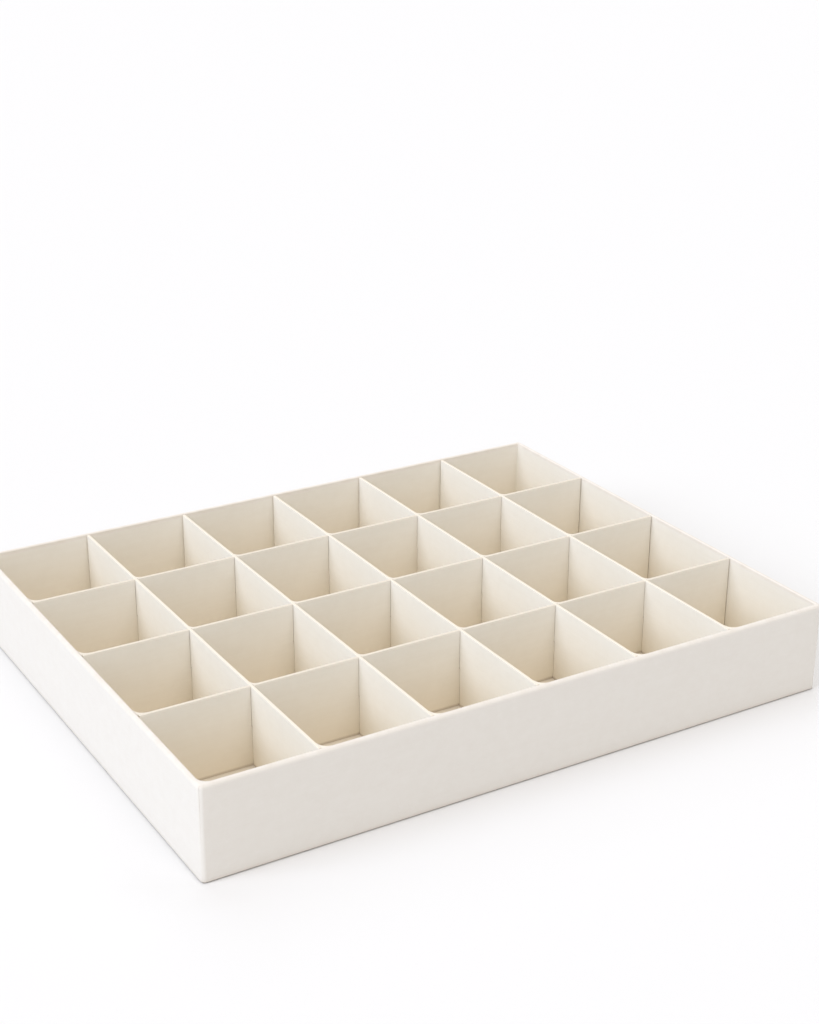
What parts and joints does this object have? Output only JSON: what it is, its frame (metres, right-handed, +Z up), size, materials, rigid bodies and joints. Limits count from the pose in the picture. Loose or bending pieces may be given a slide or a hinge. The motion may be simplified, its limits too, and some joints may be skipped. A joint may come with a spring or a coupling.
{
  "type": "divided chocolate box",
  "caption": "Shallow open tray of paper-wrapped board, split into rectangular compartments by slotted board dividers, for holding chocolates.",
  "frame": {"origin": "middle of the tray's underside", "axes": "+X along the tray's long side, +Y across it towards the back wall, +Z up out of the open top"},
  "size_m": [0.203, 0.16, 0.028],
  "materials": {
    "tray_paper": "matte wrapped board",
    "divider_board": "matte board"
  },
  "bodies": {
    "root": {"tray": "tray_paper", "long_divider_1": "divider_board", "long_divider_2": "divider_board", "long_divider_3": "divider_board", "short_divider_1": "divider_board", "short_divider_2": "divider_board", "short_divider_3": "divider_board", "short_divider_4": "divider_board", "short_divider_5": "divider_board"}
  },
  "joints": []
}
